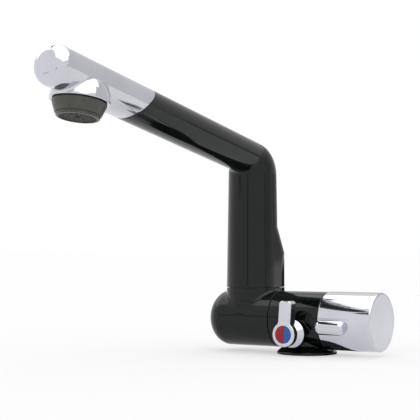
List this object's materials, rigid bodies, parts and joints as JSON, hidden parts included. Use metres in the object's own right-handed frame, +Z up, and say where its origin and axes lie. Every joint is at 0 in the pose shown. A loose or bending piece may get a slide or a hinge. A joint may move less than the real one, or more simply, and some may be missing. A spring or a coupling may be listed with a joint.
{
  "type": "folding mixer tap",
  "caption": "Deck mixer tap on a round flange: a folding, swivelling spout rises from a barrel lying on the foot, with a flow knob at its end and a temperature lever in front.",
  "frame": {"origin": "centre of the flange underside, on the deck", "axes": "+Z up, X along the barrel with the flow knob at +X, and the spout and the lever to the front, which is -Y"},
  "size_m": [0.1342, 0.2631, 0.1936],
  "materials": {
    "black": "gloss black, smooth",
    "chrome": "polished chrome",
    "brass": "turned brass, satin",
    "steel": "stainless steel, satin",
    "rubber": "black rubber, matte",
    "grey_plastic": "dark grey moulded plastic",
    "white_plastic": "natural white moulded plastic",
    "hot_red": "red inlay, gloss",
    "cold_blue": "blue inlay, gloss"
  },
  "bodies": {
    "base": {"base_flange": "black", "base_gasket": "rubber", "inlet_foot": "brass", "foot_screws": "steel", "valve_body": "brass", "middle_housing": "black", "mixing_cartridge": "white_plastic", "lever_bezel": "chrome", "fold_spindle": "brass", "fold_orings": "rubber", "fold_nut": "brass", "fold_washer": "white_plastic", "flow_cartridge": "brass"},
    "fold": {"fold_core": "brass", "fold_barrel": "black", "end_cap": "black", "swivel_orings": "rubber", "swivel_clip": "steel"},
    "spout": {"swivel_bush": "white_plastic", "pipe_adapter": "white_plastic", "water_pipe": "white_plastic", "spout_shell": "black", "nozzle_head": "chrome", "outlet_elbow": "white_plastic", "aerator_seal": "rubber", "aerator_housing": "grey_plastic", "aerator_insert": "grey_plastic", "aerator_screen": "grey_plastic"},
    "knob": {"flow_spindle": "brass", "knob_insert": "white_plastic", "knob_screw": "steel", "flow_knob": "chrome", "knob_grip": "chrome"},
    "lever": {"mixing_spindle": "brass", "mixing_lever": "chrome", "lever_screw": "steel", "hot_dot": "hot_red", "cold_dot": "cold_blue"}
  },
  "joints": [
    {"name": "spout_fold", "type": "hinge", "parent": "base", "child": "fold", "pos_m": [-0.04435, 0, 0.0237], "axis": [1, 0, 0], "range_deg": [0, 90]},
    {"name": "spout_swivel", "type": "hinge", "parent": "fold", "child": "spout", "pos_m": [-0.04435, 0, 0.0475], "axis": [0, 0, 1], "range_deg": [-120, 120]},
    {"name": "flow_turn", "type": "hinge", "parent": "base", "child": "knob", "pos_m": [0.037, 0, 0.0237], "axis": [-1, 0, 0], "range_deg": [0, 90]},
    {"name": "lever_turn", "type": "hinge", "parent": "base", "child": "lever", "pos_m": [0, -0.03, 0.0153], "axis": [0, -1, 0], "range_deg": [-41, 49]}
  ]
}
